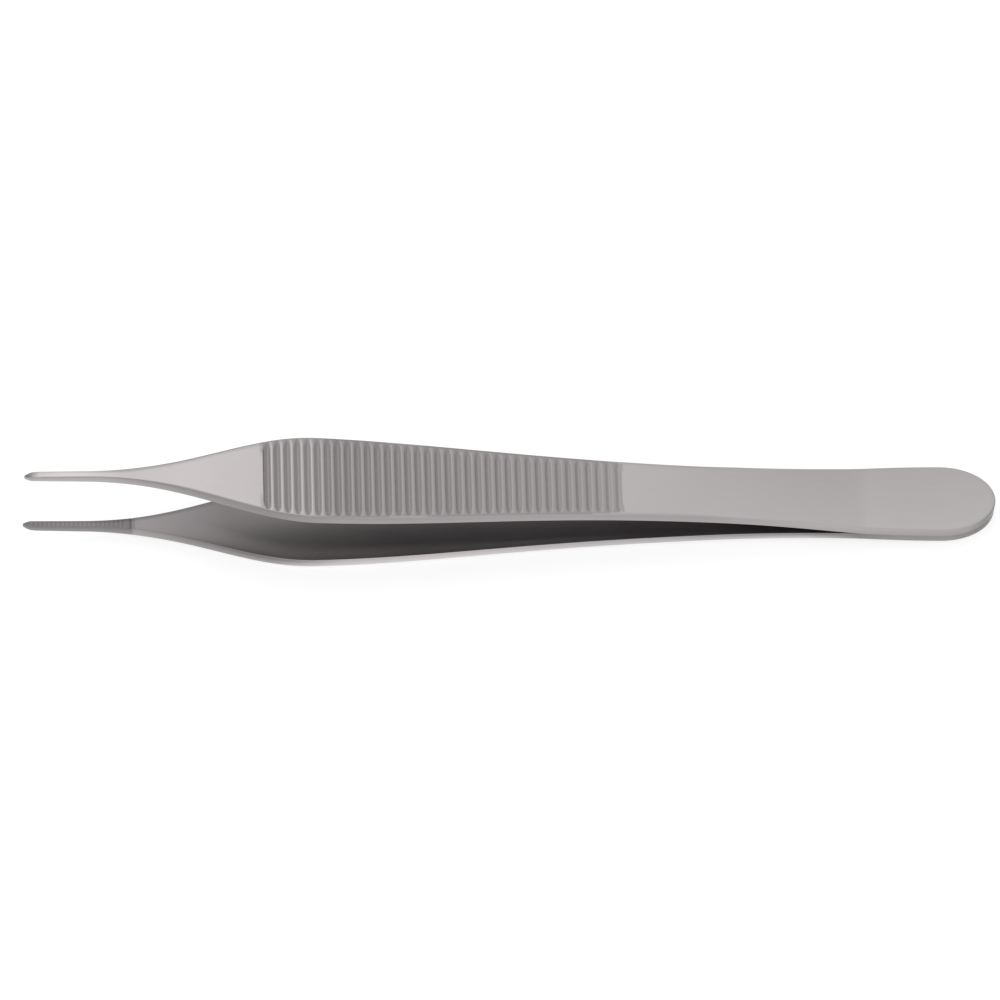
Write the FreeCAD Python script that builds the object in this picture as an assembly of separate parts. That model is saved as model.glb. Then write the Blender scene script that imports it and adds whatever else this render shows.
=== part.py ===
import FreeCAD, Part
import math
import os

# Thumb forceps with fine tips and a broad cross-ribbed grip: two bowed spring arms of stainless steel,
# each pressed and ground from strip, laid face to face and welded at the butt.
# Sizes are in millimetres. An arm is drawn with X from its tip to the butt and Z outwards from the
# middle plane between the arms, then both arms are tipped on to the surface that they lie on.

# Length and side shape of one arm
length = 120.0
tip_opening = 10.9
bow_station = 57.0
bow_height = 3.39
bow_slope = 0.056
tip_slope = 0.009
tip_reach = 25.5
bow_reach = 26.5
spring_reach = 29.9
weld_start = 104.0
weld_reach = 3.8

# Thickness of the strip along the arm
tip_thickness = 0.98
shoulder_thickness = 2.05
bow_thickness = 1.41
spring_thinning = 0.0035
butt_thickness = 1.35
outer_edge_bevel = 0.25
inner_edge_break = 0.12

# Width of the arm seen from above
tip_width = 0.8
shank_length = 7.4
flare_start_reach = 12.8
flare_end_reach = 9.1
grip_widest_station = 36.1
grip_width = 11.44
grip_reach = 15.6
waist_station = 86.2
waist_width = 7.45
waist_front_reach = 24.0
waist_rear_reach = 10.8
butt_reach = 9.3
butt_width = 9.26
butt_round_length = 6.8

# Point of the tip: an elliptic nose seen from above, and a bevel on the outer face
nose_length = 1.25
nose_width = 0.84
bevel_length = 1.25
bevel_drop = 0.45

# Ribbed panel of the grip, sunk a little into the outer face, with rounded grooves across it
# that get shallower towards the butt
panel_front = 29.25
panel_rear = 73.6
panel_depth = 0.1
first_groove = 29.75
last_groove = 73.15
groove_pitch = 1.24
groove_radius = 0.56
front_groove_depth = 0.27
rear_groove_depth = 0.17
groove_flats = 5

# Fine teeth across the inner face of each jaw, and the round groove that ends them
jaw_length = 13.5
first_tooth = 0.9
tooth_pitch = 0.55
tooth_width = 0.42
tooth_depth = 0.1
stop_groove_radius = 0.4
stop_groove_depth = 0.14

# Stock that is cut away again
spare = 2.0


# Pole ratio that makes a cubic curve follow a quarter of an ellipse
QUARTER_RATIO = 0.5523


def at(x, z):
    """Point on the long section of the arm."""
    return FreeCAD.Vector(x, 0.0, z)


def flat(x, y):
    """Point on the middle plane between the arms."""
    return FreeCAD.Vector(x, y, 0.0)


def bezier(poles):
    """Smooth curve through its first and last pole."""
    curve = Part.BezierCurve()
    curve.setPoles(poles)
    return curve


def height_at(curve, x):
    """Height of a curve of the long section over one station."""
    upright = Part.makeLine(at(x, -spare), at(x, arm_height()))
    return curve.toShape().distToShape(upright)[1][0][0].z


def prism(edges, depth):
    """Solid of a closed outline, pushed along the vector depth."""
    return Part.Face(Part.Wire(Part.__sortEdges__(edges))).extrude(depth)


def across(edges):
    """Solid of a closed outline of the long section, wider than the whole arm."""
    half_width = grip_width / 2.0 + spare
    solid = prism(edges, FreeCAD.Vector(0.0, 2.0 * half_width, 0.0))
    solid.translate(FreeCAD.Vector(0.0, -half_width, 0.0))
    return solid


def upwards(edges):
    """Solid of a closed outline seen from above, higher than the whole arm."""
    solid = prism(edges, FreeCAD.Vector(0.0, 0.0, arm_height() + spare))
    solid.translate(FreeCAD.Vector(0.0, 0.0, -spare))
    return solid


def polygon(points):
    """Straight edges of a closed outline."""
    return Part.makePolygon(points + points[:1]).Edges


def arm_height():
    """Height over the middle plane that no part of the arm reaches."""
    return tip_opening / 2.0 + tip_thickness + shoulder_thickness


def inner_poles():
    """Poles of the two curves that the inner face follows from the tip to the weld."""
    tip = tip_opening / 2.0
    front = [at(0.0, tip),
             at(tip_reach, tip - tip_slope * tip_reach),
             at(bow_station - bow_reach, bow_height + bow_slope * bow_reach),
             at(bow_station, bow_height)]
    rear = [at(bow_station, bow_height),
            at(bow_station + spring_reach, bow_height - bow_slope * spring_reach),
            at(weld_start - weld_reach, 0.0),
            at(weld_start, 0.0)]
    return front, rear


def outer_poles():
    """Poles of the outer face: those of the inner face, each raised by the thickness there."""
    front, rear = inner_poles()
    front_thickness = [tip_thickness,
                       shoulder_thickness,
                       bow_thickness + spring_thinning * bow_reach,
                       bow_thickness]
    rear_thickness = [bow_thickness,
                      bow_thickness - spring_thinning * spring_reach,
                      butt_thickness,
                      butt_thickness]
    front = [pole + at(0.0, thick) for pole, thick in zip(front, front_thickness)]
    rear = [pole + at(0.0, thick) for pole, thick in zip(rear, rear_thickness)]
    return front, rear


def side_profile():
    """The arm seen from the side: bowed inner and outer faces, flat weld land, spare stock at the tip."""
    inner_front, inner_rear = inner_poles()
    outer_front, outer_rear = outer_poles()
    inner_end = inner_front[0] - at(spare, -tip_slope * spare)
    outer_lead = (outer_front[1] - outer_front[0]) * (spare / outer_front[1].x)
    outer_end = outer_front[0] - outer_lead
    butt_inner = at(length + spare, 0.0)
    butt_outer = at(length + spare, butt_thickness)
    edges = [Part.makeLine(inner_end, inner_front[0]),
             bezier(inner_front).toShape(),
             bezier(inner_rear).toShape(),
             Part.makeLine(inner_rear[-1], butt_inner),
             Part.makeLine(butt_inner, butt_outer),
             Part.makeLine(butt_outer, outer_rear[-1]),
             bezier(outer_rear).toShape(),
             bezier(outer_front).toShape(),
             Part.makeLine(outer_front[0], outer_end),
             Part.makeLine(outer_end, inner_end)]
    return edges


def half_plan(side):
    """Edges of one side of the arm seen from above; side is 1 or -1."""
    tip = side * tip_width / 2.0
    grip = side * grip_width / 2.0
    waist = side * waist_width / 2.0
    butt = side * butt_width / 2.0
    butt_start = length - butt_round_length
    shank = Part.makeLine(flat(-spare, tip), flat(shank_length, tip))
    flare = bezier([flat(shank_length, tip),
                    flat(shank_length + flare_start_reach, tip),
                    flat(grip_widest_station - flare_end_reach, grip),
                    flat(grip_widest_station, grip)])
    taper = bezier([flat(grip_widest_station, grip),
                    flat(grip_widest_station + grip_reach, grip),
                    flat(waist_station - waist_front_reach, waist),
                    flat(waist_station, waist)])
    tail = bezier([flat(waist_station, waist),
                   flat(waist_station + waist_rear_reach, waist),
                   flat(butt_start - butt_reach, butt),
                   flat(butt_start, butt)])
    return [shank, flare.toShape(), taper.toShape(), tail.toShape()]


def half_ellipse(centre, reach, width):
    """Half of an ellipse about a station, which ends reach further along X."""
    half = width / 2.0
    edges = []
    for side in (half, -half):
        quarter = bezier([flat(centre, side),
                          flat(centre + QUARTER_RATIO * reach, side),
                          flat(centre + reach, QUARTER_RATIO * side),
                          flat(centre + reach, 0.0)])
        edges.append(quarter.toShape())
    return edges


def plan_outline():
    """The arm seen from above, from its spare stock at the tip to the half-elliptic butt."""
    edges = half_plan(1) + half_plan(-1)
    edges += half_ellipse(length - butt_round_length, butt_round_length, butt_width)
    edges.append(Part.makeLine(flat(-spare, -tip_width / 2.0), flat(-spare, tip_width / 2.0)))
    return edges


def long_edges(arm, front, rear):
    """Edges where the side walls meet the face that follows two curves and then the flat land."""
    land = Part.makeLine(rear[-1], at(length, rear[-1].z))
    section = Part.Compound([bezier(front).toShape(), bezier(rear).toShape(), land])
    picked = []
    for edge in arm.Edges:
        middle = edge.valueAt((edge.FirstParameter + edge.LastParameter) / 2.0)
        on_face = section.distToShape(Part.Vertex(at(middle.x, middle.z)))[0] < inner_edge_break / 4.0
        if on_face and edge.BoundBox.XLength > inner_edge_break:
            picked.append(edge)
    return picked


def blank_arm():
    """Arm of bowed strip with bevelled outer edges and lightly broken inner edges."""
    arm = across(side_profile()).common(upwards(plan_outline())).Solids[0]
    arm = arm.makeChamfer(inner_edge_break, long_edges(arm, *inner_poles()))
    return arm.makeChamfer(outer_edge_bevel, long_edges(arm, *outer_poles()))


def nose_waste():
    """Stock round the elliptic nose of the tip."""
    wide = grip_width / 2.0
    block = upwards(polygon([flat(-2.0 * spare, -wide), flat(nose_length, -wide),
                             flat(nose_length, wide), flat(-2.0 * spare, wide)]))
    half = nose_width / 2.0
    closing = Part.makeLine(flat(nose_length, -half), flat(nose_length, half))
    return block.cut(upwards(half_ellipse(nose_length, -nose_length, nose_width) + [closing]))


def bevel_waste():
    """Wedge over the bevel on the outer face of the tip."""
    outer = bezier(outer_poles()[0])
    start = at(bevel_length, height_at(outer, bevel_length))
    fall = at(0.0, outer_poles()[0][0].z - bevel_drop)
    lead = (start - fall) * (spare / bevel_length)
    return across(polygon([start, fall - lead, fall - lead + at(0.0, arm_height()),
                           start + at(0.0, arm_height())]))


def panel_waste(face):
    """Thin layer of the outer face that is ground off over the ribbed panel, down to the lowered face."""
    front, rear = face
    roof = at(0.0, arm_height())
    edges = [bezier(front).toShape(), bezier(rear).toShape(),
             Part.makeLine(rear[-1], rear[-1] + roof),
             Part.makeLine(rear[-1] + roof, front[0] + roof),
             Part.makeLine(front[0] + roof, front[0])]
    width = grip_width + 2.0 * spare
    panel = Part.makeBox(panel_rear - panel_front, width, 2.0 * arm_height(),
                         FreeCAD.Vector(panel_front, -width / 2.0, 0.0))
    return across(edges).common(panel)


def groove_cutter(curve, station, radius, depth, side):
    """Bar across the arm that sinks a round groove of one depth into a face, ground in a few flats."""
    seat = at(station, height_at(curve, station))
    along = curve.tangent(curve.parameter(seat))[0]
    outwards = FreeCAD.Vector(-along.z, 0.0, along.x) * side
    centre = seat + outwards * (radius - depth)
    half_angle = math.acos((radius - 2.0 * depth) / radius)
    points = []
    for number in range(groove_flats + 1):
        angle = half_angle * (2.0 * number / groove_flats - 1.0)
        points.append(centre + along * (radius * math.sin(angle)) - outwards * (radius * math.cos(angle)))
    return across(polygon(points))


def grip_cutters(face):
    """Row of round grooves across the ribbed panel, sunk into the lowered face."""
    front, rear = face
    count = round((last_groove - first_groove) / groove_pitch) + 1
    cutters = []
    for number in range(count):
        station = first_groove + number * groove_pitch
        share = number / max(count - 1, 1)
        depth = front_groove_depth + (rear_groove_depth - front_groove_depth) * share
        curve = bezier(front) if station < bow_station else bezier(rear)
        cutters.append(groove_cutter(curve, station, groove_radius, depth, 1))
    return cutters


def tooth_cutters():
    """Row of V grooves across the inner face of the jaw, ended by one round groove."""
    inner = bezier(inner_poles()[0])
    count = int((jaw_length - stop_groove_radius - first_tooth) / tooth_pitch)
    cutters = []
    for number in range(count):
        station = first_tooth + number * tooth_pitch
        face = height_at(inner, station)
        base = face - tooth_depth
        cutters.append(across(polygon([at(station - tooth_width, base), at(station + tooth_width, base),
                                       at(station, face + tooth_depth)])))
    cutters.append(groove_cutter(inner, jaw_length, stop_groove_radius, stop_groove_depth, -1))
    return cutters


def finished_arm():
    """One arm, drawn above the middle plane."""
    arm = blank_arm()
    arm = arm.cut(nose_waste())
    arm = arm.cut(bevel_waste())
    lowered = [[pole - at(0.0, panel_depth) for pole in poles] for poles in outer_poles()]
    arm = arm.cut(panel_waste(lowered))
    arm = arm.cut(grip_cutters(lowered))
    arm = arm.cut(tooth_cutters())
    return arm.Solids[0]


def resting_angle():
    """Angle in degrees that lays one arm on a surface by its butt and the edge before the panel."""
    edge = at(panel_front, height_at(bezier(outer_poles()[0]), panel_front))
    rise = edge - at(length - outer_edge_bevel, butt_thickness)
    return math.degrees(math.atan2(rise.z, -rise.x))


def lay_down(arms):
    """Tip the pair over its butt and put the middle of its underside at the origin."""
    for arm in arms:
        arm.rotate(FreeCAD.Vector(0.0, 0.0, 0.0), FreeCAD.Vector(0.0, 1.0, 0.0), resting_angle())
    box = Part.Compound(arms).optimalBoundingBox()
    for arm in arms:
        arm.translate(FreeCAD.Vector(-box.Center.x, 0.0, -box.ZMin))
    return arms


upper_arm = finished_arm()
lower_arm = upper_arm.mirror(FreeCAD.Vector(0.0, 0.0, 0.0), FreeCAD.Vector(0.0, 0.0, 1.0))
upper_arm, lower_arm = lay_down([upper_arm, lower_arm])

os.makedirs("parts", exist_ok=True)
upper_arm.exportStep("parts/upper_arm.step")
lower_arm.exportStep("parts/lower_arm.step")
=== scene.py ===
import logging
import math
from dataclasses import dataclass, field
from enum import Enum
from typing import Dict, Mapping, Optional, Tuple, Union

import bpy
import numpy as np
from mathutils import Matrix, Vector


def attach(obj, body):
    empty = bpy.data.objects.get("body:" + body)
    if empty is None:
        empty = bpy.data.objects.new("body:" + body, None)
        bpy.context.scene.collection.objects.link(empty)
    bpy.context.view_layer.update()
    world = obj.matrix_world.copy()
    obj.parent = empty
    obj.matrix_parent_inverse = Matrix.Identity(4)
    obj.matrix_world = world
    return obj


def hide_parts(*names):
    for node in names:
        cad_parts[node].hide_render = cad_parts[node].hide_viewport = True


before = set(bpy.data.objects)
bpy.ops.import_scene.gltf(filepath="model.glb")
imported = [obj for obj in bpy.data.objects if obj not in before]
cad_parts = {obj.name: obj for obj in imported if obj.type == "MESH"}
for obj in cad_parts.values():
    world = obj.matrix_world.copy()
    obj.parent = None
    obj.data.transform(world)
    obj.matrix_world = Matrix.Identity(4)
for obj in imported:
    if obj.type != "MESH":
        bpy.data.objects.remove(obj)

# Thumb forceps with fine tips and a broad cross-ribbed grip, lying on one arm in soft studio light.
# An arm is worked out in millimetres, with X from its tip to the butt, Y across and Z outwards from the
# middle plane between the arms, and is then laid where the CAD model has it, in metres.

LOG = logging.getLogger("thumb_forceps")
MILLIMETRE = 0.001
# Millimetres within which a point counts as lying on the milled panel.
TOUCH = 1e-6
# Ends of the scale of tones by which the steel's colour is multiplied, where 1 is the plain steel; below 1 is
# painted shade and above 1 painted highlight.
DARKEST_TONE, BRIGHTEST_TONE = 0.35, 1.5
# Pairs of a station along the arm and a value there, or the poles of a curve.
Table = Tuple[Tuple[float, float], ...]


class Arm(Enum):
    """Which of the two arms a mesh is made for; the value is the side of the middle plane that it lies on."""

    UPPER = 1.0
    LOWER = -1.0

    @property
    def node(self) -> str:
        """Name of the CAD node that the arm stands for."""
        return "upper_arm" if self is Arm.UPPER else "lower_arm"


def along(table: Table, station: np.ndarray) -> np.ndarray:
    """Reads a table of station and value pairs at each station, evenly between two pairs."""
    pairs = np.asarray(table)
    return np.interp(station, pairs[:, 0], pairs[:, 1])


def bezier_points(poles: Table, count: int = 1200) -> np.ndarray:
    """Points of a cubic curve: each pole times its share (1-t)^3, 3t(1-t)^2, 3t^2(1-t) or t^3, added up.

    Args:
        poles: The four poles, each a pair of millimetre values.
        count: Number of points, evenly spaced in t.

    Returns:
        Array of count rows with two columns.
    """
    t = np.linspace(0.0, 1.0, count)
    shares = np.stack([(1 - t) ** 3, 3 * t * (1 - t) ** 2, 3 * t * t * (1 - t), t ** 3], axis=1)
    return shares @ np.asarray(poles, float)


def rounded_drop(inset: np.ndarray, radius: np.ndarray) -> np.ndarray:
    """How far a face has fallen at a distance from its rounded edge.

    The drop is radius - root of (radius^2 - (radius - inset)^2).

    Args:
        inset: Distances from the edge of the face, in millimetres.
        radius: Radius of the rounded edge at the same places.

    Returns:
        Drops in millimetres, nought further in than the radius.
    """
    short = np.clip(radius - inset, 0.0, radius)
    return radius - np.sqrt(np.maximum(radius ** 2 - short ** 2, 0.0))


@dataclass(frozen=True)
class SideShape:
    """Long section of an arm: inner and outer face as height over the middle plane at each station."""

    length: float = 120.0
    inner_front: Table = ((0.0, 5.45), (25.5, 5.2205), (30.5, 4.874), (57.0, 3.39))
    inner_rear: Table = ((57.0, 3.39), (86.9, 1.7156), (100.2, 0.0), (104.0, 0.0))
    outer_front: Table = ((0.0, 6.43), (25.5, 7.2705), (30.5, 6.3768), (57.0, 4.8))
    outer_rear: Table = ((57.0, 4.8), (86.9, 3.021), (100.2, 1.35), (104.0, 1.35))

    def _height(self, front: Table, rear: Table, station: np.ndarray) -> np.ndarray:
        """Height at each station, read along the front curve, the rear curve and the flat weld land."""
        line = np.vstack([bezier_points(front), bezier_points(rear), [(self.length, rear[-1][1])]])
        return np.interp(station, line[:, 0], line[:, 1])

    def inner(self, station: np.ndarray) -> np.ndarray:
        """Height of the inner face at each station."""
        return self._height(self.inner_front, self.inner_rear, station)

    def outer(self, station: np.ndarray) -> np.ndarray:
        """Height of the outer face at each station."""
        return self._height(self.outer_front, self.outer_rear, station)


@dataclass(frozen=True)
class RibbedPanel:
    """Sunk panel of the grip with its row of rounded grooves, shallower towards the butt."""

    front: float = 29.25
    rear: float = 73.6
    sunk: float = 0.1
    first_groove: float = 29.75
    last_groove: float = 73.15
    pitch: float = 1.24
    radius: float = 0.56
    front_depth: float = 0.27
    rear_depth: float = 0.17
    rear_fade: float = 4.0
    runout_start: float = 1.0
    runout_end: float = 0.35
    runout_rise: float = 0.27
    runout_scale: Table = ((31.0, 0.58), (38.0, 0.8), (45.0, 1.0))
    lean: Table = ((40.0, 0.0), (50.0, 0.05), (58.0, 0.085))
    slope_step: float = 0.05

    def floor(self, station: np.ndarray, inset: np.ndarray, side: SideShape) -> np.ndarray:
        """Height of the ground panel.

        It is the outer face less the sunk depth, and within a groove's radius the arc: centre height minus
        the root of radius^2 - offset^2. A lean times 1 - (offset / half chord)^2 is added to the offset, so
        the deepest line lies a little nearer to the tip. The sunk depth fades out evenly before the panel's
        rear end. Near the edges the grooves rise by a set height times the square of the share run out, for
        which the inset is first divided by a scale that is smaller at the front. Infinite outside the panel.

        Args:
            station: Stations along the arm.
            inset: Distances from the side edge of the arm, with the same shape.
            side: Long section of the arm.

        Returns:
            Heights that no part of the outer face may stand above.
        """
        count = round((self.last_groove - self.first_groove) / self.pitch) + 1
        number = np.clip(np.rint((station - self.first_groove) / self.pitch), 0, count - 1)
        seat = self.first_groove + number * self.pitch
        depth = self.front_depth + (self.rear_depth - self.front_depth) * number / (count - 1)
        step = self.slope_step
        slope = (side.outer(seat + step) - side.outer(seat - step)) / (2.0 * step)
        lift = self.radius - depth
        centre = seat - slope * lift
        half_chord = np.sqrt(self.radius ** 2 - lift ** 2)
        offset = station - centre
        offset = offset + along(self.lean, station) * np.maximum(1.0 - (offset / half_chord) ** 2, 0.0)
        sunk = self.sunk * np.clip((self.rear - station) / self.rear_fade, 0.0, 1.0)
        arc = side.outer(seat) - sunk + lift - np.sqrt(np.maximum(self.radius ** 2 - offset ** 2, 0.0))
        ground = side.outer(station) - sunk
        scaled = inset / along(self.runout_scale, station)
        run_out = np.clip((self.runout_start - scaled) / (self.runout_start - self.runout_end), 0.0, 1.0)
        arc = arc + self.runout_rise * run_out ** 2
        cut = np.where(np.abs(offset) < self.radius, np.minimum(arc, ground), ground)
        inside = (station >= self.front) & (station <= self.rear)
        return np.where(inside, cut, np.inf)


@dataclass(frozen=True)
class ToothedJaw:
    """Fine cross teeth of the jaw's inner face and the round groove that ends them."""

    length: float = 13.5
    first_tooth: float = 0.9
    pitch: float = 0.55
    half_width: float = 0.21
    depth: float = 0.03
    stop_radius: float = 0.4
    stop_depth: float = 0.14

    def cut(self, station: np.ndarray) -> np.ndarray:
        """Depth of the cuts.

        In each V it is depth * (1 - offset / half width), and in the last groove the arc: root of
        radius^2 - offset^2, less the radius, plus the depth.

        Args:
            station: Stations along the arm.

        Returns:
            Depths in millimetres, nought between the cuts.
        """
        count = int((self.length - self.stop_radius - self.first_tooth) / self.pitch)
        number = np.clip(np.rint((station - self.first_tooth) / self.pitch), 0, count - 1)
        offset = np.abs(station - self.first_tooth - number * self.pitch)
        teeth = self.depth * np.maximum(1.0 - offset / self.half_width, 0.0)
        reach = np.abs(station - self.length)
        arc = np.sqrt(np.maximum(self.stop_radius ** 2 - reach ** 2, 0.0))
        arc = arc - self.stop_radius + self.stop_depth
        return np.maximum(teeth, np.maximum(arc, 0.0))


@dataclass(frozen=True)
class OutlineSteps:
    """How closely an arm's outline is sampled.

    The whole numbers are points in each stretch and in each groove. The rest are millimetres: half the
    stretch in which the panel's end walls rise, the lead before it, and the gaps between stretches.
    """

    nose: int = 8
    jaw: int = 172
    shank: int = 43
    tail: int = 90
    butt: int = 49
    per_groove: int = 14
    wall: float = 0.012
    wall_lead: float = 0.048
    groove_lead: float = 0.45
    shank_gap: float = 0.3
    panel_gap: float = 0.12
    tail_gap: float = 0.25


@dataclass(frozen=True)
class PlanShape:
    """Outline of an arm seen from above, drawn for one side: nose, slim shank, flare, taper and butt."""

    nose_length: float = 1.25
    nose_half_width: float = 0.42
    nose_power: float = 1.15
    tip_half_width: float = 0.4
    flare: Table = ((7.4, 0.4), (20.2, 0.4), (27.0, 5.72), (36.1, 5.72))
    taper: Table = ((36.1, 5.72), (51.7, 5.72), (62.2, 3.725), (86.2, 3.725))
    tail: Table = ((86.2, 3.725), (97.0, 3.725), (103.9, 4.63), (113.2, 4.63))
    butt_round: float = 6.8
    fan_start: float = 0.62
    fan_end: float = 1.5
    steps: OutlineSteps = field(default_factory=OutlineSteps)

    def half_width(self, station: np.ndarray) -> np.ndarray:
        """Half of the arm's width at each station between the nose and the butt's round end."""
        line = np.vstack([[(0.0, self.tip_half_width)], bezier_points(self.flare),
                          bezier_points(self.taper), bezier_points(self.tail)])
        return np.interp(station, line[:, 0], line[:, 1])

    def stations(self, jaw: ToothedJaw, panel: RibbedPanel) -> np.ndarray:
        """Stations of the outline between nose and butt, close together where teeth and grooves are cut.

        Args:
            jaw: Sizes of the teeth.
            panel: Sizes of the grooves.

        Returns:
            Rising array of stations in millimetres.
        """
        steps, front, rear = self.steps, panel.front, panel.rear
        jaw_end = jaw.length + jaw.stop_radius
        groove_start, groove_step = panel.first_groove - steps.groove_lead, panel.pitch / steps.per_groove
        grooves = np.arange(groove_start, rear - steps.wall, groove_step)
        parts = [np.linspace(self._corner(), jaw_end, steps.jaw),
                 np.linspace(jaw_end + steps.shank_gap, front - steps.panel_gap, steps.shank),
                 [front - steps.wall_lead, front - steps.wall, front + steps.wall],
                 grooves[grooves > front + 2.0 * steps.wall],
                 [rear - steps.wall, rear + steps.wall],
                 np.linspace(rear + steps.tail_gap, self.tail[-1][0], steps.tail)]
        return np.concatenate(parts)

    def _corner(self) -> float:
        """Station where the nose meets the straight shank."""
        share = self.tip_half_width / self.nose_half_width
        return self.nose_length * (1.0 - math.sqrt(1.0 - share * share))

    def rails(self, jaw: ToothedJaw, panel: RibbedPanel) -> Tuple[np.ndarray, np.ndarray, np.ndarray]:
        """Outline points of one side with their inward normals and the spine points that they are joined to.

        The nose is x = length * (1 - cos(a)) and y = half width * (a / largest a)^power, the butt is an arc
        of an ellipse, x = centre + reach * sin(a) and y = half width * cos(a), and the rest is x = station
        and y = half width(station). The normal is the tangent turned by a quarter. A spine point lies at the
        same station, except at both ends, where the lines fan out from a shorter stretch.

        Args:
            jaw: Sizes of the teeth.
            panel: Sizes of the grooves.

        Returns:
            Outline points, inward normals and spine stations; the first two have an x and a y column.
        """
        top = math.acos(1.0 - self._corner() / self.nose_length)
        nose_angle = np.linspace(0.0, top, self.steps.nose)[:-1]
        nose = np.stack([self.nose_length * (1.0 - np.cos(nose_angle)),
                         self.tip_half_width * (nose_angle / top) ** self.nose_power], axis=1)
        body_x = self.stations(jaw, panel)
        body = np.stack([body_x, self.half_width(body_x)], axis=1)
        centre, half = self.tail[-1]
        butt_angle = np.linspace(0.0, math.pi / 2.0, self.steps.butt)[1:]
        butt = np.stack([centre + self.butt_round * np.sin(butt_angle), half * np.cos(butt_angle)], axis=1)
        butt[-1, 1] = 0.0
        outline = np.vstack([nose, body, butt])
        tangent = np.gradient(outline, axis=0)
        tangent[0] = (0.0, 1.0)
        tangent[-1] = (0.0, -1.0)
        tangent /= np.linalg.norm(tangent, axis=1, keepdims=True)
        inward = np.stack([tangent[:, 1], -tangent[:, 0]], axis=1)
        walked = np.concatenate([[0.0], np.cumsum(np.linalg.norm(np.diff(outline, axis=0), axis=1))])
        walked_fan = np.interp(self.fan_end, outline[:, 0], walked)
        spine = outline[:, 0].copy()
        near = spine < self.fan_end
        spine[near] = self.fan_start + (self.fan_end - self.fan_start) * walked[near] / walked_fan
        spine[-len(butt):] = centre + (self.butt_round - half) * np.sin(butt_angle)
        return outline, inward, spine


@dataclass(frozen=True)
class RimShading:
    """Painted highlight and shade on one arm's rim: tones along its length, with their spread down it; 1 is
    the plain steel.
    """

    tones: Table
    spread: Table

    def tone(self, station: np.ndarray, downward: np.ndarray) -> np.ndarray:
        """Painted highlight and shade of the rim: the value of tones * (1 + the value of spread * downward).

        Args:
            station: Stations along the arm.
            downward: Way down the wall, from -0.5 at its upper edge to 0.5 at its lower edge.

        Returns:
            Tones with the shape of the stations.
        """
        return along(self.tones, station) * (1.0 + along(self.spread, station) * downward)


# Painted shade on the upper arm's rim; on the lower arm's rim a painted reflection along the middle and
# painted shade at the ends.
RIM_SHADING: Mapping[Arm, RimShading] = {
    Arm.UPPER: RimShading(
        tones=((4.0, 0.86), (10.0, 0.84), (14.0, 0.74), (21.7, 0.64), (30.0, 0.59), (34.0, 0.68),
               (39.0, 0.77), (66.0, 0.84), (83.5, 0.82), (93.5, 0.90), (98.0, 0.94), (108.0, 0.88),
               (114.0, 0.84), (116.5, 0.79), (117.5, 0.66), (118.5, 0.50), (119.5, 0.41)),
        spread=((16.0, 0.5), (26.0, 0.15), (84.0, 0.15), (100.0, -0.10))),
    Arm.LOWER: RimShading(
        tones=((3.0, 0.66), (13.4, 0.66), (13.7, 0.90), (21.7, 0.70), (28.0, 0.74), (30.5, 0.80),
               (34.0, 1.12), (39.0, 1.41), (55.0, 1.45), (66.0, 1.32), (83.5, 1.16), (96.0, 1.25),
               (99.0, 1.05), (103.0, 0.58), (108.0, 0.70), (114.0, 0.72), (117.0, 0.58), (118.0, 0.47),
               (119.5, 0.42)),
        spread=((13.0, 0.66), (14.0, 0.30), (22.0, 0.45), (28.0, 0.90), (33.0, 0.90), (41.0, 0.35),
                (80.0, 0.35), (90.0, 0.9), (99.0, 1.1), (104.0, 0.2)))}


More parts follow.
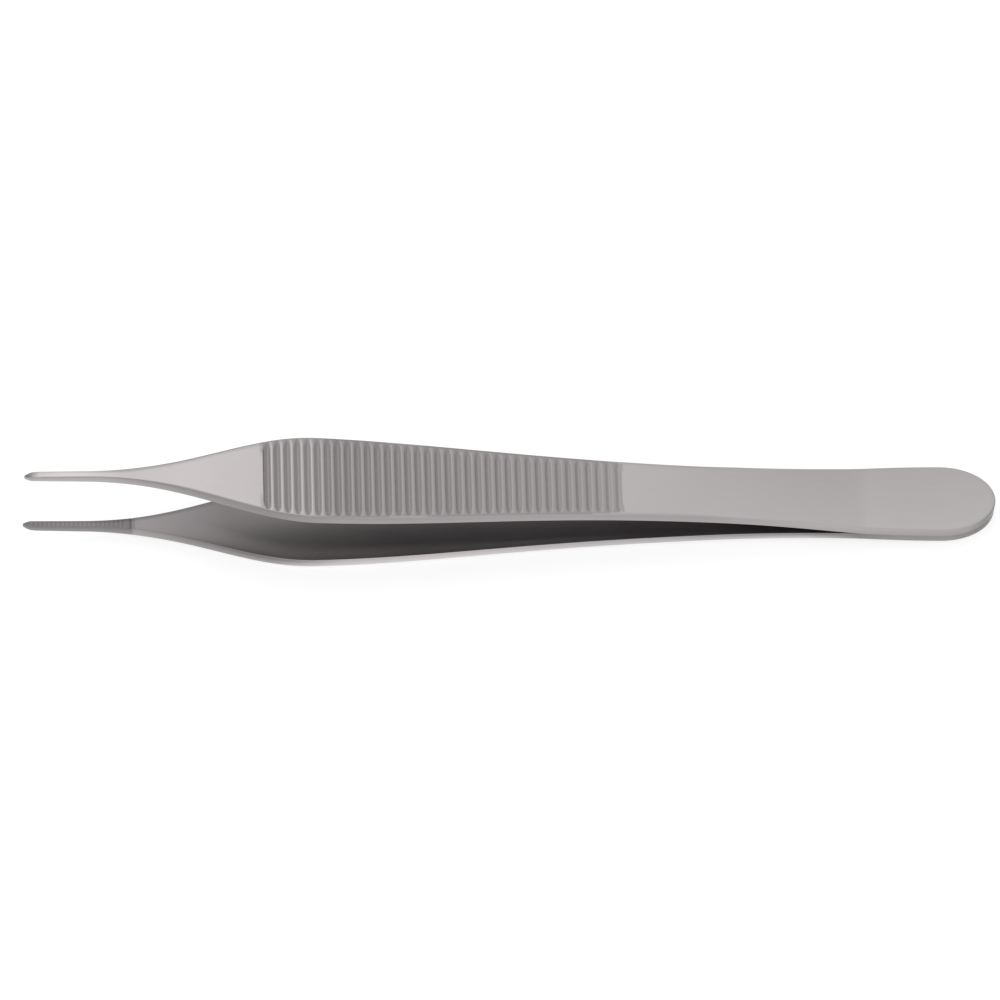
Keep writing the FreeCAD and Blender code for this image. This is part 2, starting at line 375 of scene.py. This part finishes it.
@dataclass(frozen=True)
class FaceShading:
    """Painted light and shade of an arm's faces and shares of its finishes, as tables along its length.

    The outer face has a tone, painted highlight near the tip and painted shade towards the butt, and a slant
    of it that darkens the face towards its back edge, where a painted dark line runs. The inner face has a
    share of painted shade between the arms that is lifted next to its near edge, as far as a reach in
    millimetres. The milled panel, which is also rougher, and its grooves have shares of painted shade, and
    the tip's bevel has a tone of painted shade.
    """

    # Painted highlight near the tip and painted shade towards the butt.
    face: Table = ((2.0, 1.0), (4.5, 1.11), (7.5, 1.12), (9.4, 1.03), (12.0, 0.95), (15.0, 0.97), (19.0, 1.0),
                   (72.0, 1.01), (84.0, 0.965), (96.0, 0.925), (108.0, 0.91), (120.0, 0.95))
    face_shade_slant: Table = ((78.0, 0.0), (86.0, 0.035), (100.0, 0.06))
    # Painted shade between the arms on the inner face, lifted next to its near edge.
    inside: Table = ((15.0, 0.72), (20.0, 0.84), (25.5, 1.0), (34.0, 0.90), (45.0, 1.0), (74.0, 1.0),
                     (84.0, 0.76))
    inside_lift: Table = ((20.0, 0.0), (23.0, 0.1), (25.4, 0.25), (28.0, 0.45), (31.0, 0.75), (34.0, 1.0),
                          (60.0, 1.0), (70.0, 0.7), (80.0, 0.3))
    inside_reach: Table = ((25.0, 2.8), (34.0, 2.3), (46.0, 1.7), (59.0, 1.15), (71.0, 0.8))
    inside_strength: float = 1.8
    # Painted shade over the milled panel, and deeper painted shade in its grooves.
    ribbed: Table = ((35.0, 0.25), (38.0, 1.0))
    grooves: Table = ((35.0, 1.0), (38.0, 0.68))
    # Painted dark line, painted shade, along the back edge.
    back_shade_line: Table = ((0.0, 0.90), (5.0, 0.82), (8.0, 0.75), (12.0, 0.69), (20.0, 0.68), (30.0, 0.78),
                        (72.0, 0.84), (84.0, 0.88), (90.0, 1.0))
    back_shade_reach: float = 0.62
    back_shade_share: float = 0.95
    back_shade_strength: float = 1.6
    # Painted shade on the tip's bevel.
    bevel: Table = ((0.4, 0.38), (1.0, 0.62), (1.9, 1.0))
    jaw_fade: float = 0.1

    def outer_shading(self, station: np.ndarray, across: np.ndarray) -> np.ndarray:
        """Painted highlight and shade of the outer face: the value of face * (1 - the value of the face's
        shade slant * across, -1 to 1).
        """
        return along(self.face, station) * (1.0 - along(self.face_shade_slant, station) * across)

    def back_edge_shade(self, station: np.ndarray, half_width: np.ndarray, y: np.ndarray) -> np.ndarray:
        """Tone of the painted dark line, painted shade, along the back edge.

        It is 1 - near * (1 - the value of back_shade_line), with near = strength * (1 - inset / reach) kept
        between
        0 and 1, on the back half alone.

        Args:
            station: Stations along the arm.
            half_width: Half of the arm's width there.
            y: Places across the arm, above nought on its back half.

        Returns:
            Tones with the shape of the stations.
        """
        reach = np.minimum(self.back_shade_reach, self.back_shade_share * half_width)
        near = np.clip(self.back_shade_strength * (1.0 - (half_width - np.abs(y)) / reach), 0.0, 1.0)
        return 1.0 - near * (y > 0.0) * (1.0 - along(self.back_shade_line, station))

    def inner_shade(self, station: np.ndarray, half_width: np.ndarray, y: np.ndarray) -> np.ndarray:
        """Share of painted shade between the arms on the inner face.

        It is (1 - lift * near) * the value of inside, with near = strength * (1 - inset / reach) kept between
        0 and 1, on the near half alone.

        Args:
            station: Stations along the arm.
            half_width: Half of the arm's width there.
            y: Places across the arm, below nought on its near half.

        Returns:
            Shares with the shape of the stations.
        """
        reach = along(self.inside_reach, station)
        near = np.clip(self.inside_strength * (1.0 - (half_width - np.abs(y)) / reach), 0.0, 1.0)
        return (1.0 - along(self.inside_lift, station) * near * (y < 0.0)) * along(self.inside, station)

    def shares(self, tone: np.ndarray) -> Tuple[np.ndarray, np.ndarray]:
        """Splits tones into shares of painted shade, towards the darkest tone, and of painted highlight,
        towards the brightest tone.

        They are (1 - tone) / (1 - darkest tone) below 1 and (tone - 1) / (brightest tone - 1) above 1.

        Args:
            tone: Tones of the points.

        Returns:
            Share of painted shade and share of painted highlight, each from 0 to 1.
        """
        painted_shade = np.clip((1.0 - tone) / (1.0 - DARKEST_TONE), 0.0, 1.0)
        return painted_shade, np.clip((tone - 1.0) / (BRIGHTEST_TONE - 1.0), 0.0, 1.0)


@dataclass
class ForcepsArm:
    """One arm of the forceps: bowed strip with a rounded rim, ribbed grip, toothed jaw and bevelled tip."""

    arm: Arm
    side: SideShape = field(default_factory=SideShape)
    plan: PlanShape = field(default_factory=PlanShape)
    panel: RibbedPanel = field(default_factory=RibbedPanel)
    jaw: ToothedJaw = field(default_factory=ToothedJaw)
    # Painted light and shade of the faces, and where the ribbed panel and the inner face are rougher.
    finish: FaceShading = field(default_factory=FaceShading)
    upper_rounding: Table = ((31.0, 0.26), (38.0, 0.45), (45.0, 0.6), (78.0, 0.55), (83.5, 0.48),
                             (88.0, 0.25), (112.0, 0.27))
    lower_rounding: Table = ((0.0, 0.34),)
    inner_rounding: Table = ((0.0, 0.13),)
    rounding_limit: float = 0.14
    rounding_rows: int = 9
    face_rows: int = 9
    wall_rows: int = 3
    rim_rows: int = 2
    bevel_length: float = 1.25
    bevel_drop: float = 0.45
    pitch_deg: float = 3.24033
    shift_x: float = -59.7662
    shift_z: float = 8.1166

    def _insets(self, limit: np.ndarray, radius: np.ndarray) -> Tuple[np.ndarray, np.ndarray]:
        """Distances from the edge at which a face is sampled, from the wall to the end of the rounding.

        They are radius * (1 - cos(a)) for even angles a up to a quarter turn, so the arc is cut evenly. The
        radius is at most a set share of the width that is there.

        Args:
            limit: Distance from each outline point to its spine point.
            radius: Wanted radius of the edge at each outline point.

        Returns:
            Insets with one row for each outline point, and the radius at each point as a column.
        """
        angle = np.linspace(0.0, math.pi / 2.0, self.rounding_rows)
        fitted = np.minimum(radius, self.rounding_limit * limit)[:, None]
        return fitted * (1.0 - np.cos(angle))[None, :], fitted

    def _face(self, outline: np.ndarray, inward: np.ndarray, spine: np.ndarray, rounding: Table,
              outer: bool) -> np.ndarray:
        """Points of the outer or inner face, from the wall to the spine.

        Seen from above a point is outline + inset * inward normal in the rounding, and beyond it lies evenly
        on the line to the spine point. Its height is that of the face less the rounding's drop. The outer
        face also falls to the tip by the bevel's drop times (1 - x / (2 * bevel length))^2, and is cut by
        the ribbed panel; the inner face is cut by the jaw's teeth.

        Args:
            outline: Outline points.
            inward: Inward normals of the outline.
            spine: Spine stations.
            rounding: Radius of the face's edge at each station.
            outer: True for the outer face, False for the inner face.

        Returns:
            Array of outline points by rows by three coordinates, in millimetres.
        """
        axis = np.stack([spine, np.zeros_like(spine)], axis=1)
        limit = np.linalg.norm(axis - outline, axis=1)
        inset, fitted = self._insets(limit, along(rounding, outline[:, 0]))
        rim = outline[:, None, :] + inset[:, :, None] * inward[:, None, :]
        share = np.linspace(0.0, 1.0, self.face_rows + 1)[1:]
        start = rim[:, -1:, :]
        middle = start + share[None, :, None] * (axis[:, None, :] - start)
        seen = np.concatenate([rim, middle], axis=1)
        drop = np.concatenate([rounded_drop(inset, fitted), np.zeros(middle.shape[:2])], axis=1)
        x = seen[:, :, 0]
        if outer:
            fall = np.clip(1.0 - x / (2.0 * self.bevel_length), 0.0, 1.0)
            height = self.side.outer(x) - np.maximum(drop, self.bevel_drop * fall ** 2)
            inset_here = self.plan.half_width(x) - np.abs(seen[:, :, 1])
            height = np.minimum(height, self.panel.floor(x, inset_here, self.side))
        else:
            height = self.side.inner(x) + np.maximum(drop, self.jaw.cut(x))
        return np.concatenate([seen, height[:, :, None]], axis=2)

    def _half(self) -> np.ndarray:
        """Points of one half of the arm.

        Each line runs from the spine of the outer face over the rim to the spine of the inner face, and its
        wall rows lie evenly between the edges of both faces.

        Returns:
            Array of outline points by rows by three coordinates, in millimetres.
        """
        outline, inward, spine = self.plan.rails(self.jaw, self.panel)
        rounding = self.upper_rounding if self.arm is Arm.UPPER else self.lower_rounding
        outer = self._face(outline, inward, spine, rounding, True)
        inner = self._face(outline, inward, spine, self.inner_rounding, False)
        share = np.linspace(0.0, 1.0, self.wall_rows + 2)[1:-1]
        wall = outer[:, :1] + share[None, :, None] * (inner[:, :1] - outer[:, :1])
        return np.concatenate([outer[:, ::-1], wall, inner], axis=1)

    def _rows(self, count: int) -> Tuple[np.ndarray, np.ndarray, np.ndarray, np.ndarray]:
        """What the rows of the grid belong to; the rim's share rises and falls evenly over the roundings.

        Args:
            count: Number of rows in a line of points.

        Returns:
            For each row: whether it is on the outer face, its share of the rim, its share of the inner face,
            and its way down the wall, from -0.5 at the upper edge to 0.5 at the lower edge.
        """
        outer_end = self.rounding_rows + self.face_rows - 1
        wall_end = outer_end + self.wall_rows + 1
        inner_end = wall_end + self.rounding_rows - 1
        rim_start, rim_end = outer_end - self.rim_rows, wall_end + self.rim_rows
        row = np.arange(count)
        rim = np.interp(row, [self.face_rows + 1, rim_start, rim_end, inner_end], [0.0, 1.0, 1.0, 0.0])
        inner = np.interp(row, [rim_end, inner_end], [0.0, 1.0])
        downward = np.interp(row, [rim_start, wall_end], [-0.5, 0.5]) * self.arm.value
        return row <= outer_end, rim, inner, downward

    def _shade_and_finish_shares(self, points: np.ndarray) -> Dict[str, np.ndarray]:
        """Shares of the finishes and of painted light and shade over the whole grid.

        The groove share, painted shade in the grooves, is the depth below the panel over the deepest groove.
        The outer face has its own tone of painted highlight and shade, times that of the painted dark line
        along the back edge and that of the painted shade on the tip's bevel. Over the rounding it turns
        evenly into the rim's painted highlight and shade: face + rim share * (rim tone * line - face).

        Args:
            points: Lines of points from the outer spine over the rim to the inner spine.

        Returns:
            Arrays of one share for each point, by name: of the milled panel's rougher finish and painted
            shade, of painted shade in its grooves, of painted shade and a rougher finish on the inner face,
            of painted shade on the toothed jaw, and of painted shade and painted highlight towards the
            darkest and the brightest tone.
        """
        finish, panel = self.finish, self.panel
        station, y, height = points[:, :, 0], points[:, :, 1], points[:, :, 2]
        half_width = self.plan.half_width(station)
        outer, rim, inner, downward = self._rows(points.shape[1])
        milled = height > panel.floor(station, half_width - np.abs(y), self.side) - TOUCH
        deep = np.clip((self.side.outer(station) - panel.sunk - height) / panel.front_depth, 0.0, 1.0)
        # Painted dark line along the back edge, painted shade on the tip's bevel, and painted highlight and
        # shade of the face and rim.
        line = finish.back_edge_shade(station, half_width, y)
        bevel = np.where(outer, along(finish.bevel, station), 1.0)
        face = finish.outer_shading(station, y / half_width) * line * bevel
        edge = RIM_SHADING[self.arm].tone(station, downward) * line
        painted_shade, painted_highlight = finish.shares(face + rim * (edge - face))
        # Painted shade on the toothed jaw, fading out over its end.
        jaw_end = [self.jaw.length - finish.jaw_fade, self.jaw.length + finish.jaw_fade]
        # ribbed: painted shade and a rougher finish on the milled panel; groove: painted shade in the
        # grooves; inside: painted shade between the arms.
        return {"ribbed": milled * along(finish.ribbed, station),
                "groove": milled * deep * along(finish.grooves, station),
                "inside": inner * finish.inner_shade(station, half_width, y),
                "jaw": inner * np.interp(station, jaw_end, [1.0, 0.0]),
                "painted_shade": painted_shade,
                "painted_highlight": painted_highlight}

    def surface(self) -> Tuple[np.ndarray, np.ndarray, Dict[str, np.ndarray]]:
        """Closed surface of the arm.

        The half grid and its mirror image across Y share the spine and both ends, and each quad joins two
        neighbouring lines of that ring. Where the sum of cross * corner, a multiple of the volume, is below
        nought, the quads face inwards and are turned round.

        Returns:
            Points in metres in the row frame, quads of point numbers that face outwards, and the finish
            shares of the points by name.
        """
        half = self._half()
        count, rows = half.shape[:2]
        other = half[1:-1][::-1] * np.array([1.0, -1.0, 1.0])
        ring = np.concatenate([half, other], axis=0)
        number = np.arange(ring.shape[0] * rows).reshape(ring.shape[0], rows)
        twin = np.arange(1, count - 1)[::-1]
        number[count:, 0] = number[twin, 0]
        number[count:, -1] = number[twin, -1]
        ahead = np.roll(number, -1, axis=0)
        quads = np.stack([number[:, :-1], number[:, 1:], ahead[:, 1:], ahead[:, :-1]], axis=2).reshape(-1, 4)
        used, quads = np.unique(quads, return_inverse=True)
        quads = quads.reshape(-1, 4)
        shares = {name: share.ravel()[used] for name, share in self._shade_and_finish_shares(ring).items()}
        points = self._laid(ring.reshape(-1, 3)[used])
        corner = points[quads]
        cross = np.cross(corner[:, 1] - corner[:, 0], corner[:, 2] - corner[:, 0])
        if np.sum(cross * corner[:, 0]) < 0.0:
            quads = quads[:, ::-1]
        return points, quads, shares

    def _laid(self, points: np.ndarray) -> np.ndarray:
        """Turns points of the arm on to the floor.

        Z is mirrored for the lower arm, then both are pitched about Y, x' = x cos(p) + z sin(p) and
        z' = z cos(p) - x sin(p), shifted, and made metres.

        Args:
            points: Rows of three coordinates, in millimetres from the tip and the middle plane.

        Returns:
            Rows of three coordinates, in metres in the row frame.
        """
        pitch = math.radians(self.pitch_deg)
        x, y, z = points[:, 0], points[:, 1], points[:, 2] * self.arm.value
        laid = np.stack([x * math.cos(pitch) + z * math.sin(pitch) + self.shift_x, y,
                         z * math.cos(pitch) - x * math.sin(pitch) + self.shift_z], axis=1)
        return laid * MILLIMETRE

    def build(self, finish: bpy.types.Material) -> bpy.types.Object:
        """Makes the arm's object, which rides on the root body and stands for its CAD node.

        Args:
            finish: Material of the steel.

        Returns:
            The new object.
        """
        points, quads, shares = self.surface()
        mesh = bpy.data.meshes.new(f"{self.arm.node}_steel")
        mesh.vertices.add(len(points))
        mesh.vertices.foreach_set("co", points.astype(np.float32).ravel())
        mesh.loops.add(quads.size)
        mesh.loops.foreach_set("vertex_index", quads.astype(np.int32).ravel())
        mesh.polygons.add(len(quads))
        mesh.polygons.foreach_set("loop_start", np.arange(0, quads.size, 4, dtype=np.int32))
        mesh.polygons.foreach_set("use_smooth", np.ones(len(quads), dtype=bool))
        mesh.update(calc_edges=True)
        for name, share in shares.items():
            mesh.attributes.new(name, "FLOAT", "POINT").data.foreach_set("value", share.astype(np.float32))
        mesh.materials.append(finish)
        piece = bpy.data.objects.new(mesh.name, mesh)
        bpy.context.scene.collection.objects.link(piece)
        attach(piece, "root")
        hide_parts(self.arm.node)
        LOG.info("%s: %d points, %d quads", piece.name, len(points), len(quads))
        return piece


class Value:
    """A number that a shader node gives out; sums, differences and products of it add Math nodes."""

    def __init__(self, shop: "NodeShop", socket: bpy.types.NodeSocket) -> None:
        """Keeps the socket and the shop that adds nodes for it."""
        self.shop = shop
        self.socket = socket

    def _math(self, operation: str, first: "Number", second: "Number") -> "Value":
        """Adds one Math node."""
        node = self.shop.add("ShaderNodeMath", {"operation": operation}, {0: first, 1: second})
        return Value(self.shop, node.outputs[0])

    def __add__(self, other: "Number") -> "Value":
        """Sum."""
        return self._math("ADD", self, other)

    def __radd__(self, other: "Number") -> "Value":
        """Sum with the number in front."""
        return self._math("ADD", other, self)

    def __sub__(self, other: "Number") -> "Value":
        """Difference."""
        return self._math("SUBTRACT", self, other)

    def __rsub__(self, other: "Number") -> "Value":
        """Difference with the number in front."""
        return self._math("SUBTRACT", other, self)

    def __mul__(self, other: "Number") -> "Value":
        """Product."""
        return self._math("MULTIPLY", self, other)

    def __rmul__(self, other: "Number") -> "Value":
        """Product with the number in front."""
        return self._math("MULTIPLY", other, self)

    def largest(self, other: "Number") -> "Value":
        """The larger of two numbers."""
        return self._math("MAXIMUM", self, other)


Number = Union[Value, float]
Colour = Tuple[float, float, float]


class NodeShop:
    """Adds and links the nodes of one material or world."""

    def __init__(self, tree: bpy.types.NodeTree) -> None:
        """Empties the node tree that the shop works in."""
        self.tree = tree
        tree.nodes.clear()

    def add(self, kind: str, settings: Optional[Mapping[str, object]] = None,
            inputs: Optional[Mapping[Union[str, int], object]] = None) -> bpy.types.Node:
        """Adds a node.

        Args:
            kind: The node's type.
            settings: Its settings, made first because they can change its sockets.
            inputs: Values, Value objects or sockets for its inputs, by name or number.

        Returns:
            The new node.
        """
        node = self.tree.nodes.new(kind)
        for name, setting in (settings or {}).items():
            setattr(node, name, setting)
        for name, source in (inputs or {}).items():
            if isinstance(source, Value):
                source = source.socket
            if isinstance(source, bpy.types.NodeSocket):
                self.tree.links.new(source, node.inputs[name])
            else:
                node.inputs[name].default_value = source
        return node

    def value(self, node: bpy.types.Node, output: Union[str, int] = 0) -> Value:
        """One output of a node as a number."""
        return Value(self, node.outputs[output])

    def shown_rays(self) -> Value:
        """One for rays that show the background, from the camera, off metal or through glass, else nought.

        Returns:
            The larger of the three Light Path outputs.
        """
        path = self.add("ShaderNodeLightPath")
        seen = self.value(path, "Is Camera Ray").largest(self.value(path, "Is Glossy Ray"))
        return seen.largest(self.value(path, "Is Transmission Ray"))


@dataclass(frozen=True)
class SatinSteel:
    """Satin stainless steel: fine matt grain from bead blasting, faint lengthwise streaks, cloudy sheen."""

    name: str = "satin_steel"
    colour: Colour = (0.46, 0.432, 0.435)
    streak_colour: Colour = (0.44, 0.412, 0.415)
    # Tone each share multiplies the colour by: painted shade on the ribbed panel, in the grooves, between the
    # arms and on the jaw, and the ends of painted shade and painted highlight.
    tones: Tuple[Tuple[str, float], ...] = (("ribbed", 0.69), ("groove", 0.5), ("inside", 0.38),
                                            ("jaw", 0.69), ("painted_shade", DARKEST_TONE), ("painted_highlight", BRIGHTEST_TONE))
    roughness: float = 0.3
    ribbed_roughness: float = 0.08
    inside_roughness: float = 0.06
    roughness_swing: float = 0.07
    grain_per_metre: float = 9000.0
    grain_detail: float = 2.0
    grain_height: float = 0.0000045
    grain_weight: float = 0.7
    streak_per_metre: float = 2600.0
    streak_detail: float = 3.0
    streak_squash: float = 0.03
    streak_weight: float = 0.3
    cloud_per_metre: float = 120.0
    cloud_detail: float = 3.0

    def material(self) -> bpy.types.Material:
        """Makes the material.

        Returns:
            Metal whose colour follows the streaks and is multiplied by the painted shade and painted
            highlight of the mesh's shares, whose roughness follows clouds and grain, and whose bump is the
            grain with a little of the streaks.
        """
        steel = bpy.data.materials.new(self.name)
        steel.use_nodes = True
        shop = NodeShop(steel.node_tree)
        place = shop.add("ShaderNodeTexCoord").outputs["Object"]
        squash = (self.streak_squash, 1.0, 1.0)
        drawn_out = shop.add("ShaderNodeMapping", None, {"Vector": place, "Scale": squash}).outputs[0]
        grain = self._noise(shop, place, self.grain_per_metre, self.grain_detail)
        streak = self._noise(shop, drawn_out, self.streak_per_metre, self.streak_detail)
        cloud = self._noise(shop, place, self.cloud_per_metre, self.cloud_detail)
        ribbed, inside = self._share(shop, "ribbed"), self._share(shop, "inside")
        rough = self.roughness + (cloud - 0.5) * self.roughness_swing + (grain - 0.5) * self.roughness_swing
        rough = rough + ribbed * self.ribbed_roughness + inside * self.inside_roughness
        tint = self._mix(shop, streak, (*self.colour, 1.0), (*self.streak_colour, 1.0), "MIX")
        # Painted light and shade: each share darkens or brightens the colour towards its tone.
        for name, tone in self.tones:
            tint = self._mix(shop, self._share(shop, name), tint, (tone, tone, tone, 1.0), "MULTIPLY")
        relief = grain * self.grain_weight + streak * self.streak_weight
        bump = shop.add("ShaderNodeBump", None, {
            "Height": relief, "Strength": 1.0, "Distance": self.grain_height})
        shader = shop.add("ShaderNodeBsdfPrincipled", None, {
            "Base Color": tint, "Metallic": 1.0, "Roughness": rough, "Normal": bump.outputs[0]})
        shop.add("ShaderNodeOutputMaterial", None, {"Surface": shader.outputs[0]})
        return steel

    @staticmethod
    def _noise(shop: NodeShop, place: bpy.types.NodeSocket, per_metre: float, detail: float) -> Value:
        """Soft noise around a half, with so many waves to a metre."""
        inputs = {"Vector": place, "Scale": per_metre, "Detail": detail}
        return shop.value(shop.add("ShaderNodeTexNoise", None, inputs), "Fac")

    @staticmethod
    def _share(shop: NodeShop, name: str) -> Value:
        """Share at a point, read from the mesh's attribute of that name; most shares are painted shade or
        painted highlight.
        """
        return shop.value(shop.add("ShaderNodeAttribute", {"attribute_name": name}), "Fac")

    @staticmethod
    def _mix(shop: NodeShop, share: Value, first: object, second: object, kind: str) -> bpy.types.NodeSocket:
        """Mixes two colours by a share, with the Mix node's own way of mixing.

        Args:
            shop: Adds the node.
            share: How much of the second colour's effect is taken, from 0 to 1.
            first: Colour, or socket of one.
            second: Colour, or socket of one.
            kind: The way of mixing, as the Mix node names it.

        Returns:
            Socket of the mixed colour.
        """
        settings = {"data_type": "RGBA", "blend_type": kind}
        return shop.add("ShaderNodeMix", settings, {0: share, 6: first, 7: second}).outputs[2]


@dataclass(frozen=True)
class SoftBox:
    """A soft square lamp."""

    name: str
    place: Tuple[float, float, float]
    aim: Tuple[float, float, float]
    size: float
    watts: float

    def build(self) -> bpy.types.Object:
        """Hangs the lamp at its place, turned to its aim.

        Returns:
            The lamp's object.
        """
        lamp = bpy.data.lights.new(self.name, "AREA")
        lamp.shape = "SQUARE"
        lamp.size = self.size
        lamp.energy = self.watts
        hung = bpy.data.objects.new(self.name, lamp)
        hung.location = self.place
        hung.rotation_euler = (Vector(self.place) - Vector(self.aim)).to_track_quat("Z", "Y").to_euler()
        bpy.context.scene.collection.objects.link(hung)
        return hung


@dataclass(frozen=True)
class Viewpoint:
    """The photograph's camera: how steeply and from where it looks, and how far away it stands."""

    aim: Tuple[float, float, float] = (0.000138, 0.0, 0.004725)
    tilt_deg: float = 30.617
    turn_deg: float = 1.713
    right_shift: float = -0.001292
    up_shift: float = 0.000343
    distance: float = 1.227
    lens: float = 358.2
    sensor_width: float = 36.0
    clip_start: float = 0.01

    def build(self) -> bpy.types.Object:
        """Makes the camera from its right, up and back directions.

        Right is (cos t, -sin t, 0). Back leans from the vertical by the tilt towards the front, and up is
        square to both.

        Returns:
            The camera, set as the scene's.
        """
        tilt, turn = math.radians(self.tilt_deg), math.radians(self.turn_deg)
        right = Vector((math.cos(turn), -math.sin(turn), 0.0))
        back = Vector((-math.sin(tilt) * math.sin(turn), -math.sin(tilt) * math.cos(turn), math.cos(tilt)))
        up = back.cross(right)
        place = Vector(self.aim) + right * self.right_shift + up * self.up_shift + back * self.distance
        data = bpy.data.cameras.new("photo_camera")
        data.sensor_width = self.sensor_width
        data.lens = self.lens
        data.clip_start = self.clip_start
        camera = bpy.data.objects.new("photo_camera", data)
        camera.matrix_world = Matrix.Translation(place) @ Matrix((right, up, back)).transposed().to_4x4()
        bpy.context.scene.collection.objects.link(camera)
        bpy.context.scene.camera = camera
        LOG.info("camera: %.1f mm lens, %.3f m from the forceps", self.lens, self.distance)
        return camera


@dataclass(frozen=True)
class Studio:
    """Pale floor, white surroundings and soft lamps."""

    floor_half: float = 1.5
    floor_drop: float = 0.00002
    floor_colour: Colour = (0.42, 0.42, 0.42)
    floor_lift: float = 0.7
    fill: float = 0.9
    lamps: Tuple[SoftBox, ...] = (
        SoftBox("left_softbox", (-0.13, 0.325, 0.565), (-0.03, 0.0, 0.0), 0.42, 0.3),
    )

    def build(self) -> None:
        """Lays the floor, lights the world and hangs the lamps."""
        half = self.floor_half
        mesh = bpy.data.meshes.new("floor")
        corners = [(-half, -half), (half, -half), (half, half), (-half, half)]
        mesh.from_pydata([(x, y, -self.floor_drop) for x, y in corners], [], [(0, 1, 2, 3)])
        mesh.materials.append(self._floor_material())
        floor = bpy.data.objects.new("floor", mesh)
        bpy.context.scene.collection.objects.link(floor)
        self._light_world()
        for lamp in self.lamps:
            lamp.build()
        LOG.info("studio: floor, world and %d lamps", len(self.lamps))

    def _floor_material(self) -> bpy.types.Material:
        """Matt pale floor that takes the object's shadow, lifted to white for the rays that show it.

        Returns:
            Diffuse paint plus an emission whose strength is the lift on those rays and nought on others.
        """
        paint = bpy.data.materials.new("pale_floor")
        paint.use_nodes = True
        shop = NodeShop(paint.node_tree)
        matt = shop.add("ShaderNodeBsdfDiffuse", None, {"Color": (*self.floor_colour, 1.0)})
        lift = shop.add("ShaderNodeEmission", None, {"Strength": shop.shown_rays() * self.floor_lift})
        both = shop.add("ShaderNodeAddShader", None, {0: matt.outputs[0], 1: lift.outputs[0]})
        shop.add("ShaderNodeOutputMaterial", None, {"Surface": both.outputs[0]})
        return paint

    def _light_world(self) -> None:
        """White world for the rays that show it, and a little less light for matt surfaces."""
        world = bpy.data.worlds.new("white_surroundings")
        world.use_nodes = True
        shop = NodeShop(world.node_tree)
        strength = self.fill + shop.shown_rays() * (1.0 - self.fill)
        glow = shop.add("ShaderNodeBackground", None, {"Color": (1.0, 1.0, 1.0, 1.0), "Strength": strength})
        shop.add("ShaderNodeOutputWorld", None, {"Surface": glow.outputs[0]})
        bpy.context.scene.world = world


def main() -> None:
    """Builds the two arms, the studio and the camera, and reports each."""
    logging.basicConfig(level=logging.INFO, format="%(name)s: %(message)s")
    bpy.context.scene.view_settings.view_transform = "Standard"
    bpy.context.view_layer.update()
    steel = SatinSteel().material()
    for arm in Arm:
        ForcepsArm(arm).build(steel)
    Studio().build()
    Viewpoint().build()


if __name__ == "__main__":
    main()
